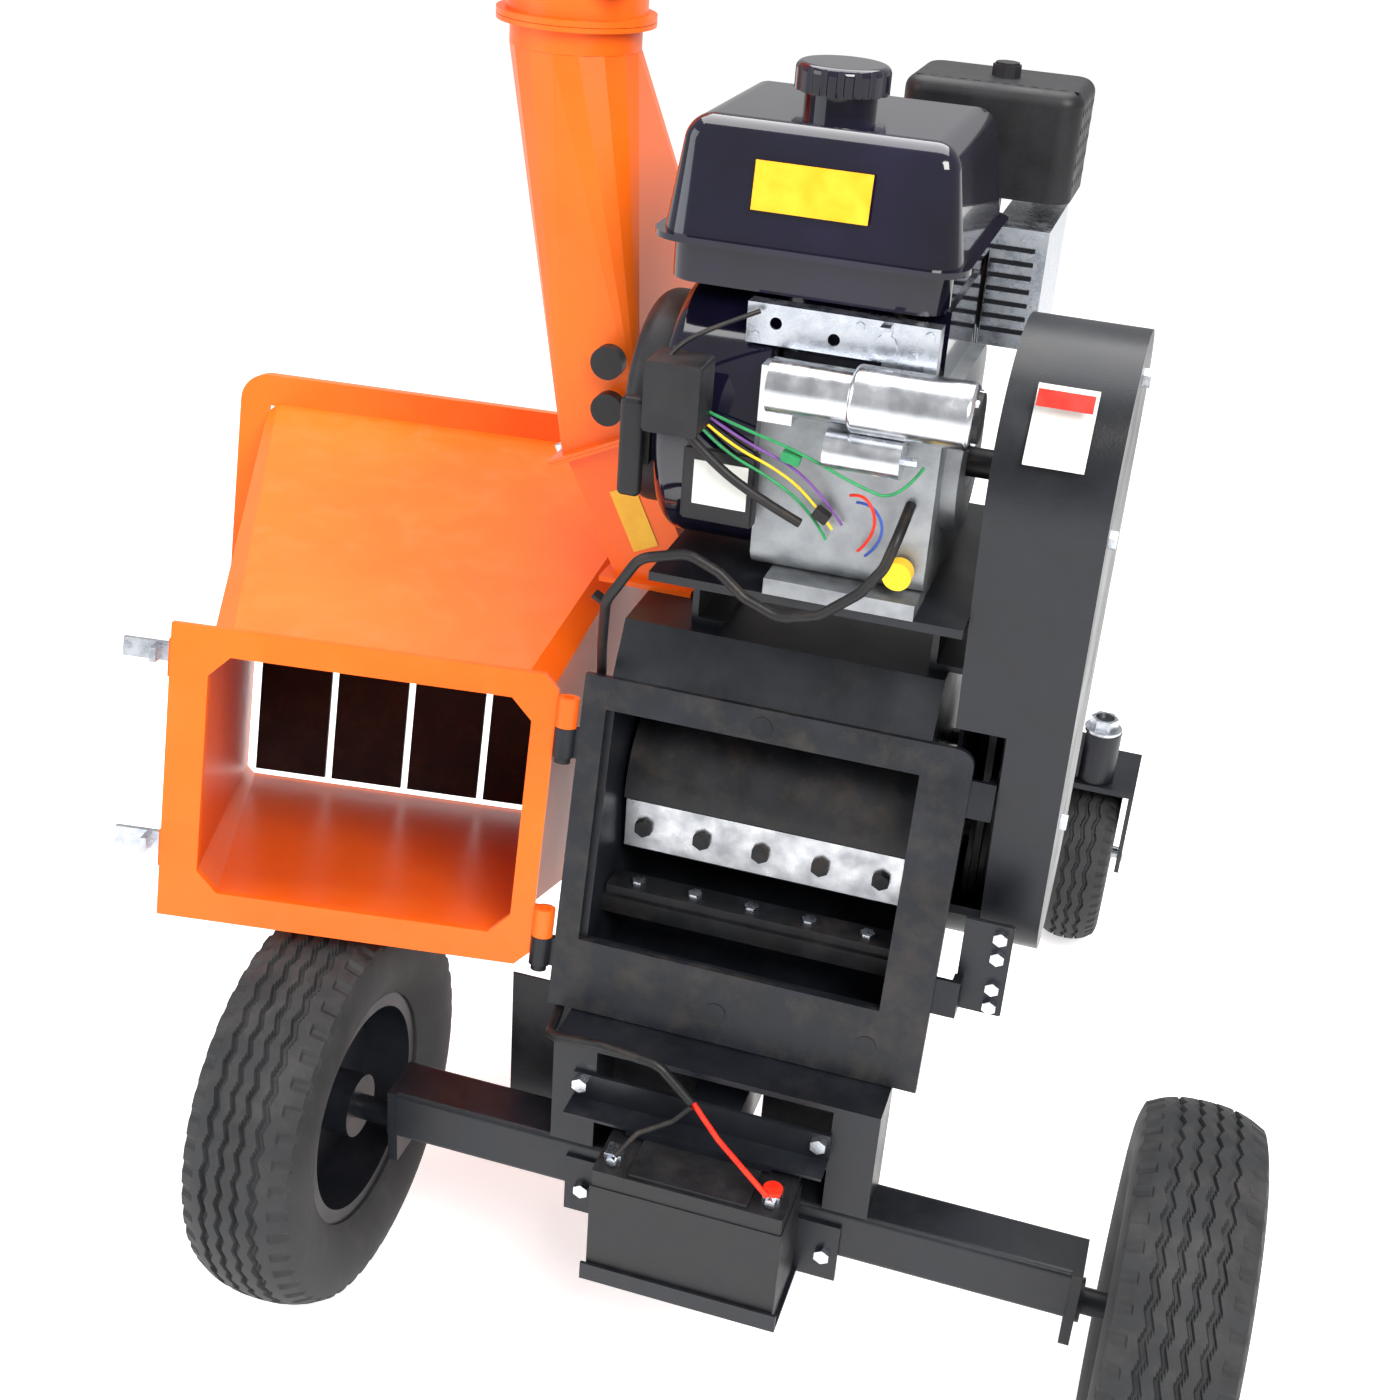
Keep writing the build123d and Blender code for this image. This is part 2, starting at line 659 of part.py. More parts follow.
def folded_transition(foot_plane, width, depth, top_plane, radius):
    """Sheet-metal transition from a rectangle to a circle, made of flat folds."""
    corners = [
        foot_plane.from_local_coords(Vector(u * width / 2, v * depth / 2, 0))
        for u, v in ((1, 1), (-1, 1), (-1, -1), (1, -1))
    ]
    rim = [
        top_plane.from_local_coords(Vector(radius * cos(k * pi / 8), radius * sin(k * pi / 8), 0))
        for k in range(16)
    ]
    faces = [Face(Wire.make_polygon(corners)), Face(Wire.make_polygon(rim))]
    for turn in range(4):
        for k in range(4 * turn, 4 * turn + 4):
            faces.append(Face(Wire.make_polygon([corners[turn], rim[k], rim[(k + 1) % 16]])))
        shared = rim[(4 * turn + 4) % 16]
        faces.append(Face(Wire.make_polygon([corners[turn], shared, corners[(turn + 1) % 4]])))
    return Solid(Shell(faces))


with BuildPart() as discharge_chute:
    with BuildSketch(duct_plane.offset(gap / 2)) as foot_flange:
        Rectangle(duct_width + 28, duct_depth + 28)
    extrude(foot_flange.sketch, amount=3)
    add(
        folded_transition(duct_plane.offset(3), duct_width + 6, duct_depth, collar_plane,
        collar_radius - 4)
    )
    rod((collar_x, collar_y, collar_z - 24), (0, 0, 1), collar_radius - 4, 24)
    rod((collar_x, collar_y, collar_z - 4), (0, 0, 1), collar_radius + 8, 4)
    inner_radius = collar_radius - 4 - sheet
    duct_void = folded_transition(
        duct_plane, duct_width, duct_depth - 2 * sheet, collar_plane, inner_radius
    )
    add(duct_void, mode=Mode.SUBTRACT)
    rod((collar_x, collar_y, collar_z - 25), (0, 0, 1), collar_radius - 4 - sheet, 40, mode=Mode.SUBTRACT)
save(discharge_chute.part, "discharge_chute")

with BuildPart() as duct_nuts:
    for u in (-1, 1):
        for v in (-1, 0, 1):
            spot = duct_plane.from_local_coords(Vector(u * (duct_width / 2 + 11.2), v * 130, 3 + gap / 2))
            hexagon(tuple(spot), tuple(duct_axis), 6, 6)

with BuildPart() as turning_elbow:
    rod((collar_x, collar_y, collar_z + gap), (0, 0, 1), collar_radius + 8, 5)
    rod((collar_x, collar_y, collar_z + gap), (0, 0, 1), collar_radius, 30)
    elbow_outer = [
        (collar_y - collar_radius, collar_z + 30), (collar_y - collar_radius, collar_z + 110),
        (collar_y - collar_radius + 45, collar_z + 180), (collar_y + 30, collar_z + 208),
        (collar_y + 96, collar_z + 208), (collar_y + 96, collar_z + 92), (
            collar_y + collar_radius, collar_z + 60
        ),
        (collar_y + collar_radius, collar_z + 30),
    ]
    with BuildSketch(Plane.YZ.offset(collar_x - collar_radius)):
        with BuildLine():
            Polyline(*elbow_outer, close=True)
        make_face()
    extrude(amount=2 * collar_radius)
    with BuildSketch(Plane.YZ.offset(collar_x - collar_radius + sheet)):
        with BuildLine():
            Polyline(*elbow_outer, close=True)
        make_face()
        offset(amount=-sheet)
    extrude(amount=2 * collar_radius - 2 * sheet, mode=Mode.SUBTRACT)
    rod((collar_x, collar_y, collar_z - 1), (0, 0, 1), collar_radius - sheet - 1, 40, mode=Mode.SUBTRACT)
    inner_half = collar_radius - sheet
    block(
        collar_x - inner_half, collar_x + inner_half, collar_y + 80, collar_y + 100, collar_z + 98,
        collar_z + 204, mode=Mode.SUBTRACT
    )
    rod((collar_x - 90, collar_y + 82, collar_z + 192), (1, 0, 0), 5.05, 180, mode=Mode.SUBTRACT)
save(turning_elbow.part, "turning_elbow")

cap_y = collar_y + 96 + 6
cap_z = collar_z + 214
with BuildPart() as deflector_cap:
    cap_outline = [
        (cap_y - 6, cap_z), (cap_y + 110, cap_z - 52), (cap_y + 108, cap_z - 56), (cap_y - 6, cap_z - 4)
    ]
    with BuildSketch(Plane.YZ.offset(collar_x - collar_radius - 4)):
        with BuildLine():
            Polyline(*cap_outline, close=True)
        make_face()
    extrude(amount=2 * collar_radius + 8)
    cheek = [(cap_y - 28, cap_z - 14), (cap_y - 6, cap_z - 2), (cap_y + 110, cap_z - 54)]
    cheek += [(cap_y + 96, cap_z - 104), (cap_y - 28, cap_z - 34)]
    for x in (collar_x - collar_radius - 4, collar_x + collar_radius + 1):
        with BuildSketch(Plane.YZ.offset(x)):
            with BuildLine():
                Polyline(*cheek, close=True)
            make_face()
        extrude(amount=3)

with BuildPart() as cap_hinge:
    rod((collar_x - collar_radius - 10, cap_y - 20, cap_z - 22), (1, 0, 0), 5, 2 * collar_radius + 20)
    add(deflector_cap.part)
save(cap_hinge.part, "deflector_cap")

knob_y = duct_y - duct_depth / 2
with BuildPart() as clamp_knobs:
    for x, z, sink in ((-196, 957, 2.3), (-194, 914, 0.4)):
        rod((x - 8, knob_y + sink, z), (0, -1, 0), 5, 14)
        rod((x - 8, knob_y - 10, z), (0, -1, 0), 15, 12)
save(clamp_knobs.part, "clamp_knobs")

# ---- feed hopper, drawn open ---------------------------------------------
def on_hopper(w, s, depth):
    """Point of the open hopper from width, height and depth."""
    return tuple(hinge_foot + hopper_out * w + up_flange * s + funnel_out * depth)


def chamfered(x0, x1, y0, y1, cut):
    """Rectangle with clipped corners between two corners."""
    with Locations(((x0 + x1) / 2, (y0 + y1) / 2)):
        base = Rectangle(x1 - x0, y1 - y0)
        chamfer(base.vertices(), cut)


hopper_low = 33.0
hopper_high = 321.0
funnel_normal = hopper_plane(0).z_dir
outward = 1.0 if funnel_normal.dot(funnel_out) > 0 else -1.0
with BuildPart() as hopper_flange:
    with BuildSketch(hopper_plane(0)) as plate:
        rect(10, hopper_width, hopper_low, hopper_high)
        chamfer(plate.vertices().sort_by(Axis.X)[:2], 14)
    with BuildSketch(hopper_plane(0)) as throat:
        chamfered(throat_left, throat_right, throat_bottom, throat_top, 20)
    extrude(plate.sketch, amount=outward * flange_thickness)
    extrude(throat.sketch, amount=outward * (flange_thickness + 1), mode=Mode.SUBTRACT)
save(hopper_flange.part, "hopper_flange")


def funnel_loft(grow, start, stop, mode):
    """Four-sided funnel between the throat and the mouth."""
    share = start / hopper_depth
    run = stop / hopper_depth
    ends = []
    for depth, part_way in ((start, share), (stop, run)):
        x0 = throat_left + (hopper_mouth_left - throat_left) * part_way - grow
        x1 = throat_right + (hopper_mouth_right - throat_right) * part_way + grow
        y0 = throat_bottom + (hopper_mouth_bottom - throat_bottom) * part_way - grow
        y1 = throat_top + (hopper_mouth_top - throat_top) * part_way + grow
        with BuildSketch(hopper_plane(depth)) as section:
            chamfered(x0, x1, y0, y1, 20 - 10 * part_way + grow * 0.4)
        ends.append(section.sketch.face())
    loft(ends, ruled=True, mode=mode)


with BuildPart() as hopper_funnel:
    funnel_loft(sheet, flange_thickness, hopper_depth, Mode.ADD)
    funnel_loft(0, flange_thickness - 1, hopper_depth + 1, Mode.SUBTRACT)

lip = 34.0
with BuildPart() as mouth_rim:
    with BuildSketch(hopper_plane(hopper_depth)) as lip_ring:
        rect(
            hopper_mouth_left - lip, hopper_mouth_right + lip, hopper_mouth_bottom - lip,
            hopper_mouth_top + lip
        )
        fillet(lip_ring.vertices(), 30)
        rect(
            hopper_mouth_left, hopper_mouth_right, hopper_mouth_bottom, hopper_mouth_top,
            mode=Mode.SUBTRACT
        )
    extrude(lip_ring.sketch, amount=outward * sheet)
    with BuildSketch(hopper_plane(hopper_depth)) as lip_edge:
        rect(
            hopper_mouth_left - lip, hopper_mouth_right + lip, hopper_mouth_bottom - lip,
            hopper_mouth_top + lip
        )
        fillet(lip_edge.vertices(), 30)
        offset(amount=-sheet, mode=Mode.SUBTRACT)
    extrude(lip_edge.sketch, amount=outward * 22)
    add(hopper_funnel.part)
save(mouth_rim.part, "hopper_funnel")

flap_count = 5
flap_pitch = (hopper_mouth_right - hopper_mouth_left - 16) / flap_count
with BuildPart() as flap_curtain:
    with BuildSketch(hopper_plane(hopper_depth - 8)) as flaps:
        for index in range(flap_count):
            start = hopper_mouth_left + 10 + index * flap_pitch
            rect(start, start + flap_pitch - 8, hopper_mouth_bottom + 12, hopper_mouth_top - 14)
    extrude(flaps.sketch, amount=-outward * 5)
    with BuildSketch(hopper_plane(hopper_depth - 8)) as clamp_bar:
        rect(hopper_mouth_left + 9, hopper_mouth_right - 9, hopper_mouth_top - 42, hopper_mouth_top - 6.5)
    extrude(clamp_bar.sketch, amount=outward * 5)
save(flap_curtain.part, "flap_curtain")

knuckle_radius = 10.0
pin_radius = 5.0
hinge_heights = (38.0, 246.0)
with BuildPart() as frame_knuckles:
    for s in hinge_heights:
        foot = hinge_foot + up_flange * s
        rod(tuple(foot), tuple(up_flange), knuckle_radius, 28)
        with BuildSketch(face_plane.offset(-flange_thickness)) as web:
            rect(hinge_x, flange_left + 1, s, s + 28)
        extrude(web.sketch, amount=flange_thickness)
        rod(tuple(foot - up_flange * 2), tuple(up_flange), pin_radius + 0.05, 40, mode=Mode.SUBTRACT)
    with BuildSketch(face_plane.offset(-flange_thickness - 1)) as clear:
        rect(flange_left, flange_right, 0, flange_height)
    extrude(clear.sketch, amount=flange_thickness + 2, mode=Mode.SUBTRACT)
    add(latch_keepers.part)
save(frame_knuckles.part, "flange_fittings")

with BuildPart() as hopper_knuckles:
    for s in hinge_heights:
        foot = hinge_foot + up_flange * (s + 28 + gap)
        rod(tuple(foot), tuple(up_flange), knuckle_radius, 28)
        with BuildSketch(hopper_plane(0)) as web:
            rect(0, 11, s + 28 + gap, s + 56 + gap)
        extrude(web.sketch, amount=outward * flange_thickness)
        rod(tuple(foot), tuple(up_flange), pin_radius - 0.2, 28, mode=Mode.SUBTRACT)
    with BuildSketch(hopper_plane(0)) as clear:
        rect(10, 30, 0, hopper_high)
    extrude(clear.sketch, amount=outward * flange_thickness, mode=Mode.SUBTRACT)

with BuildPart() as hinge_pins:
    for s in hinge_heights:
        foot = hinge_foot + up_flange * (s - 6)
        rod(tuple(foot), tuple(up_flange), pin_radius, 34 + 28)
        rod(tuple(foot), tuple(up_flange), pin_radius + 2.5, 5)
    for s in hinge_heights:
        foot = hinge_foot + up_flange * (s + 28 + gap)
        rod(tuple(foot), tuple(up_flange), 12, 30, mode=Mode.SUBTRACT)
save(hinge_pins.part, "hinge_pins")

latch_heights = (285.0, 97.0)
with BuildPart() as latch_brackets:
    for s in latch_heights:
        with BuildSketch(hopper_plane(flange_thickness)) as seat:
            rect(hopper_width - 26, hopper_width + 4, s - 18, s + 18)
        extrude(seat.sketch, amount=outward * 6)
        for edge in (s - 18, s + 12):
            with BuildSketch(hopper_plane(flange_thickness + 6)) as ear:
                rect(hopper_width - 22, hopper_width + 2, edge, edge + 6)
            extrude(ear.sketch, amount=outward * 24)
    add(hopper_knuckles.part)
save(latch_brackets.part, "hopper_brackets")

latch_depth = flange_thickness + 20.0
for name, s in (("upper", latch_heights[0]), ("lower", latch_heights[1])):
    with BuildPart() as latch_lever:
        rod(on_hopper(hopper_width - 10, s - 11.4, latch_depth), tuple(up_flange), 7, 22.8)
        with BuildSketch(hopper_plane(latch_depth - 3)) as handle:
            rect(hopper_width - 10, hopper_width + 52, s - 9, s + 9)
            fillet(handle.vertices().sort_by(Axis.X)[:2], 5)
        extrude(handle.sketch, amount=outward * 6)
        with BuildSketch(hopper_plane(latch_depth - 20)) as hook:
            rect(hopper_width + 16, hopper_width + 22, s - 7, s + 7)
        extrude(hook.sketch, amount=outward * 18)
    save(latch_lever.part, f"{name}_latch_lever")

# ---- battery -------------------------------------------------------------
tray_rear = -axle_tube / 2 - battery_depth - 6
battery_left = battery_x - battery_width / 2
battery_right = battery_x + battery_width / 2
battery_front_y = -axle_tube / 2 - 6
with BuildPart() as battery_tray:
    block(battery_left - 4, battery_right + 4, tray_rear - 4, -axle_tube / 2, battery_z - 3, battery_z)
    block(
        battery_left - 4, battery_right + 4, tray_rear - 4, tray_rear - 1, battery_z - 3, battery_z + 16
    )
    block(-136, 136, -axle_tube / 2 - 4, -axle_tube / 2, battery_z - 3, battery_z + 62)

lid_top = battery_z + battery_height
with BuildPart() as battery_case:
    block(battery_left, battery_right, tray_rear, battery_front_y + 1, battery_z, lid_top - 22)
    block(battery_left + 1, battery_right - 1, tray_rear + 1, battery_front_y, battery_z, lid_top - 4)
    block(battery_left + 34, battery_right - 34, tray_rear + 4, battery_front_y - 3, battery_z, lid_top)
    fillet(battery_case.edges().filter_by(Axis.Z), 2)
save(battery_case.part, "battery_case")

terminal_y = tray_rear + 22
with BuildPart() as battery_terminals:
    for x in (battery_left + 16, battery_right - 16):
        block(x - 8, x + 8, terminal_y - 8, terminal_y + 8, lid_top - 4, lid_top + 8)
        hexagon((x, terminal_y - 8, lid_top + 2), (0, -1, 0), 5, 4)
save(battery_terminals.part, "battery_terminals")

bar_z = lid_top + 32.0
with BuildPart() as hold_down_bar:
    block(-132, 116, -axle_tube / 2 - 4, -axle_tube / 2, bar_z - 24, bar_z + 4)
    block(-132, 116, -axle_tube / 2 - 30, -axle_tube / 2 - 1, bar_z - 27, bar_z - 24)
    block(-70, 70, -axle_tube / 2 - 30, -axle_tube / 2 - 27, lid_top, bar_z - 25)
    add(battery_tray.part)
save(hold_down_bar.part, "battery_mount")

with BuildPart() as tray_bolts:
    for x, z, y in ((-118, 205, -axle_tube / 2 - 4), (122, 205, -axle_tube / 2 - 4)):
        hexagon((x, y, z), (0, -1, 0), 8, 6)
    for x in (-124, 106):
        hexagon((x, -axle_tube / 2 - 4, bar_z - 6), (0, -1, 0), 8, 7)

# ---- tow bar and front support wheel -------------------------------------
tow_half = tow_tube / 2
with BuildPart() as tow_bar:
    block(-tow_half, tow_half, 20, hitch_y - 90, tow_z - tow_half, tow_z + tow_half)
    block(
        -tow_half + 4, tow_half - 4, 19, hitch_y - 89, tow_z - tow_half + 4, tow_z + tow_half - 4,
        mode=Mode.SUBTRACT
    )
    block(-tow_half, tow_half, -20, 22, axle_top, tow_z + tow_half)
    block(-tow_half, tow_half, 200, 240, tow_z + tow_half, chamber_foot - 6)
    block(tow_half, caster_x - 20, caster_y - 45, caster_y + 5, fork_top + 8, fork_top + 48)

with BuildPart() as caster_tube:
    rod((caster_x, caster_y - 20, fork_top + 1), (0, 0, 1), 25, 69)
    rod((caster_x, caster_y - 20, fork_top), (0, 0, 1), 12.06, 98, mode=Mode.SUBTRACT)
    block(-20, caster_x - 20, -300, caster_y + 200, 0, 400, mode=Mode.SUBTRACT)
    add(tow_bar.part)
save(caster_tube.part, "tow_bar")

swivel_y = caster_y - 20.0
wheel_y = swivel_y + caster_trail
fork_half = caster_width / 2 + 8
with BuildPart() as caster_fork:
    rod((caster_x, swivel_y, fork_top - 6), (0, 0, 1), 12, 90)
    block(
        caster_x - fork_half - 6, caster_x + fork_half + 6, swivel_y - 28, wheel_y + 26, fork_top - 8,
        fork_top
    )
    for side in (-1, 1):
        near = caster_x + side * fork_half
        far = caster_x + side * (fork_half + 6)
        leg = [
            (swivel_y - 28, fork_top), (swivel_y - 20, fork_top - 40), (wheel_y - 20, caster_radius - 20)
        ]
        leg += [(wheel_y + 20, caster_radius - 20), (wheel_y + 26, fork_top)]
        with BuildSketch(Plane.YZ.offset(min(near, far))):
            with BuildLine():
                Polyline(*leg, close=True)
            make_face()
        extrude(amount=6)
    rod((caster_x - 100, wheel_y, caster_radius), (1, 0, 0), 8.3, 200, mode=Mode.SUBTRACT)
save(caster_fork.part, "caster_fork")

with BuildPart() as swivel_nut:
    rod((caster_x, swivel_y, fork_top + 70), (0, 0, 1), 24, 4)
    hexagon((caster_x, swivel_y, fork_top + 74), (0, 0, 1), 18, 14)
    rod((caster_x, swivel_y, tow_z), (0, 0, 1), 12.06, 80, mode=Mode.SUBTRACT)

with BuildPart() as frame_fasteners:
    add(bed_knife_bolts.part)
    add(bearing_studs.part)
    add(guard_bolts.part)
    add(duct_nuts.part)
    add(tray_bolts.part)
    add(swivel_nut.part)
save(frame_fasteners.part, "frame_fasteners")

caster_rim_radius = 62.0
caster_spin = Axis((caster_x, wheel_y, caster_radius), (1, 0, 0))
with BuildPart() as caster_tyre:
    with BuildSketch(wheel_plane(caster_x, wheel_y, caster_radius)):
        tyre_profile(caster_radius, caster_width, caster_rim_radius, 7)
    revolve(axis=caster_spin)
save(caster_tyre.part, "caster_tyre")

with BuildPart() as caster_rim:
    with BuildSketch(wheel_plane(caster_x, wheel_y, caster_radius)):
        rim_profile(caster_rim_radius, caster_width, 0, 24, 8.05, 0)
    revolve(axis=caster_spin)
save(caster_rim.part, "caster_rim")

with BuildPart() as caster_axle_bolt:
    rod((caster_x - fork_half - 16, wheel_y, caster_radius), (1, 0, 0), 8, 2 * fork_half + 32)
    hexagon((caster_x - fork_half - 6, wheel_y, caster_radius), (-1, 0, 0), 13, 8)
    hexagon((caster_x + fork_half + 6, wheel_y, caster_radius), (1, 0, 0), 13, 10)
save(caster_axle_bolt.part, "caster_axle_bolt")

ring_bore = 25.5
with BuildPart() as hitch_coupler:
    block(-36, 36, hitch_y - 90, hitch_y - 80, tow_z - 36, tow_z + 36)
    block(-30, 30, hitch_y - 82, hitch_y - 10, tow_z + 12, tow_z + 26)
    block(-30, 30, hitch_y - 82, hitch_y - 10, tow_z - 26, tow_z - 12)
    rod((0, hitch_y - 10, tow_z + 12), (0, 0, 1), 30, 14)
    rod((0, hitch_y - 10, tow_z - 26), (0, 0, 1), 30, 14)
    rod((0, hitch_y - 10, tow_z - 30), (0, 0, 1), ring_bore / 2, 60, mode=Mode.SUBTRACT)
save(hitch_coupler.part, "hitch_coupler")

# ---- battery cables ------------------------------------------------------
cable_radius = 4.5
lead_radius = 2.6


def cable(points, bends, radius):
    """Round cable along straight runs joined by tangent arcs."""
    with BuildLine() as run:
        FilletPolyline(*points, radius=bends)
    start = run.wires()[0]
    with BuildSketch(Plane(origin=start @ 0, z_dir=start % 0)) as section:
        Circle(radius)
    sweep(section.sketch, path=start)


with BuildPart() as starter_cable:
    cable(
        [
            (100, 59.8, 922), (98, 24, 905), (91, 20, 880), (74, 20, 855), (43, 20, 829), (10, 20, 820),
            (-21, 20, 832), (-44, 21, 850), (-71, 20, 862), (-113, 20, 850), (-142, 24, 803), (
                -156, 62, 742
            ),
            (-172, 113, 690), (-170, 78, 570), (-170, 43, 410), (-171, 36, 358), (-158, -34, 380),
            (-104, -45, 393), (-46, -46, 388), (-12, -50, 358),
        ],
        24,
        cable_radius,
    )
save(starter_cable.part, "starter_cable")

with BuildPart() as battery_leads:
    cable(
        [(-9.9, -48.4, 356.4), (20, -66, 338), (battery_right - 19, terminal_y - 10.5, lid_top + 9.3)],
        14, lead_radius
    )
    cable(
        [(-11.0, -54.6, 356.4), (-24, -64, 344), (-52, -80, 334),
        (battery_left + 19, terminal_y - 10.5, lid_top + 9.3)], 8, lead_radius
    )
save(battery_leads.part, "battery_leads")

# ---- origin under the middle of the whole chipper, then the files ---------
boxes = [part.bounding_box() for part in pieces.values()]
low_x = min(box.min.X for box in boxes)
high_x = max(box.max.X for box in boxes)
low_y = min(box.min.Y for box in boxes)
high_y = max(box.max.Y for box in boxes)
low_z = min(box.min.Z for box in boxes)
shift = Location((-(low_x + high_x) / 2, -(low_y + high_y) / 2, -low_z))
for label, part in pieces.items():
    placed = part.moved(shift)
    placed.label = label
    export_step(placed, f"parts/{label}.step")
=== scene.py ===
"""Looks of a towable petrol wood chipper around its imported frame, in metres."""
import math

import bmesh
import bpy
from mathutils import Matrix, Vector


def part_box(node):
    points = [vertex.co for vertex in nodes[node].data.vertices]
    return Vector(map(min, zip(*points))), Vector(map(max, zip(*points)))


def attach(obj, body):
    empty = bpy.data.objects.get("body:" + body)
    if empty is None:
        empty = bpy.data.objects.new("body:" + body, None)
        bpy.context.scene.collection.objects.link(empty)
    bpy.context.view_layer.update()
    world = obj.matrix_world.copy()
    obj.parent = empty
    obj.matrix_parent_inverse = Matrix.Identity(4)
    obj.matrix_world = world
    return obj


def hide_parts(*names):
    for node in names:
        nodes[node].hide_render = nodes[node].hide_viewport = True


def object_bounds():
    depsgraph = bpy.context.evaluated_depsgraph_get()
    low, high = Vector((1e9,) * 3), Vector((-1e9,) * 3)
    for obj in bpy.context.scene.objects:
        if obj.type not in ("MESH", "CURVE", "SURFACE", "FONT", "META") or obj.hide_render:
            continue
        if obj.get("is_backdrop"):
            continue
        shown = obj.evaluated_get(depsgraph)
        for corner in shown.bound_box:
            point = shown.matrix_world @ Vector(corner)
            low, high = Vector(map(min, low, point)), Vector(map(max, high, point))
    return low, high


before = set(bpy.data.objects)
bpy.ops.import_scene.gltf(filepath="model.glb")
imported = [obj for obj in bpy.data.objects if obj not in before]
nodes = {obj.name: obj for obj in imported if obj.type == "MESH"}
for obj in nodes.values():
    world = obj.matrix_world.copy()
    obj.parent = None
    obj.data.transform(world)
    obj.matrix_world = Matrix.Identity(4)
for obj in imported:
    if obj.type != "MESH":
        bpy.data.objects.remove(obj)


def write_size(key, store):
    low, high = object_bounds()
    store[key] = [list(low), list(high)]


size_store = {}
write_size("before", size_store)

# ---- hopper and discharge ------------------------------------------------
# Folded sheet steel with an even orange powder coat, slightly uneven in gloss,
# with a little pale dust lying on the faces that look up.


def linear(code):
    """Linear colour from an sRGB hex code."""
    parts = [int(code[i:i + 2], 16) / 255 for i in (0, 2, 4)]
    return [c / 12.92 if c <= 0.04045 else ((c + 0.055) / 1.055) ** 2.4 for c in parts] + [1.0]


def node(tree, kind, settings=(), **links):
    """Adds a shader node, sets its inputs and properties, and links sockets."""
    made = tree.nodes.new(kind)
    for name, value in dict(settings).items():
        if name in made.inputs.keys():
            made.inputs[name].default_value = value
        else:
            setattr(made, name, value)
    for name, source in links.items():
        tree.links.new(source, made.inputs[name.replace("_", " ")])
    return made


def finish_of(name, base, other, rough=(0.35, 0.5), metal=0.0, blotch=0.04, grain=0.002,
              bump=0.1, dust=0.0, dust_colour="b8946a", coat=0.0):
    """Finish with two colours, uneven gloss, fine relief and dust lying on it."""
    made = bpy.data.materials.new(name)
    made.use_nodes = True
    tree = made.node_tree
    shader = tree.nodes["Principled BSDF"]
    place = node(tree, "ShaderNodeTexCoord").outputs["Object"]
    broad = node(tree, "ShaderNodeTexNoise", {"Scale": 1 / blotch, "Detail": 6.0}, Vector=place)
    fine = node(tree, "ShaderNodeTexNoise", {"Scale": 1 / grain, "Detail": 3.0}, Vector=place)
    ramp = node(
        tree, "ShaderNodeMapRange", {"From Min": 0.35, "From Max": 0.65}, Value=broad.outputs["Fac"]
    )
    tint = node(tree, "ShaderNodeMix", {"data_type": "RGBA"})
    tree.links.new(ramp.outputs["Result"], tint.inputs[0])
    for socket, colour in ((tint.inputs[6], base), (tint.inputs[7], other)):
        socket.default_value = linear(colour)
    colour_out = tint.outputs[2]
    gloss = node(
        tree, "ShaderNodeMapRange",
        {"From Min": 0.3, "From Max": 0.7, "To Min": rough[0], "To Max": rough[1]},
        Value=broad.outputs["Fac"]
    )
    gloss_out = gloss.outputs["Result"]
    if dust > 0:
        normal = node(tree, "ShaderNodeNewGeometry").outputs["Normal"]
        up = node(tree, "ShaderNodeSeparateXYZ", Vector=normal).outputs["Z"]
        lying = node(
            tree, "ShaderNodeMapRange",
            {"From Min": -0.3, "From Max": 1.0, "To Min": 0.15, "To Max": 1.0}, Value=up
        )
        patch = node(
            tree, "ShaderNodeTexNoise", {"Scale": 26.0, "Detail": 9.0, "Roughness": 0.7}, Vector=place
        )
        spot = node(
            tree, "ShaderNodeMapRange", {"From Min": 0.48, "From Max": 0.72, "To Max": dust},
            Value=patch.outputs["Fac"]
        )
        amount = node(tree, "ShaderNodeMath", {"operation": "MULTIPLY", "use_clamp": True})
        tree.links.new(lying.outputs["Result"], amount.inputs[0])
        tree.links.new(spot.outputs["Result"], amount.inputs[1])
        cover = node(tree, "ShaderNodeMix", {"data_type": "RGBA"})
        tree.links.new(amount.outputs[0], cover.inputs[0])
        tree.links.new(colour_out, cover.inputs[6])
        cover.inputs[7].default_value = linear(dust_colour)
        colour_out = cover.outputs[2]
        dull = node(tree, "ShaderNodeMix", {})
        tree.links.new(amount.outputs[0], dull.inputs[0])
        tree.links.new(gloss_out, dull.inputs[2])
        dull.inputs[3].default_value = 0.9
        gloss_out = dull.outputs[0]
    relief = node(
        tree, "ShaderNodeBump", {"Strength": bump, "Distance": 0.0006}, Height=fine.outputs["Fac"]
    )
    tree.links.new(colour_out, shader.inputs["Base Color"])
    tree.links.new(gloss_out, shader.inputs["Roughness"])
    tree.links.new(relief.outputs["Normal"], shader.inputs["Normal"])
    shader.inputs["Metallic"].default_value = metal
    shader.inputs["Coat Weight"].default_value = coat
    shader.inputs["Specular IOR Level"].default_value = 0.35
    return made


def dress(names, material, edge=0.7):
    """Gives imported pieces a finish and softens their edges, in millimetres."""
    for name in names.split():
        part = nodes[name]
        part.data.materials.clear()
        part.data.materials.append(material)
        rounding = part.modifiers.new("soft edges", "BEVEL")
        rounding.width = edge / 1000
        rounding.segments = 2
        rounding.limit_method = "ANGLE"
        rounding.angle_limit = math.radians(35)


orange_powder = finish_of(
    "orange_powder_coat", "ee5d0b", "f26a12", (0.3, 0.4), blotch=0.3, bump=0.1, dust=0.12
)
dress("hopper_flange", orange_powder, edge=0.8)
dress("hopper_funnel hopper_brackets", orange_powder)
dress("lower_duct discharge_chute turning_elbow deflector_cap", orange_powder)

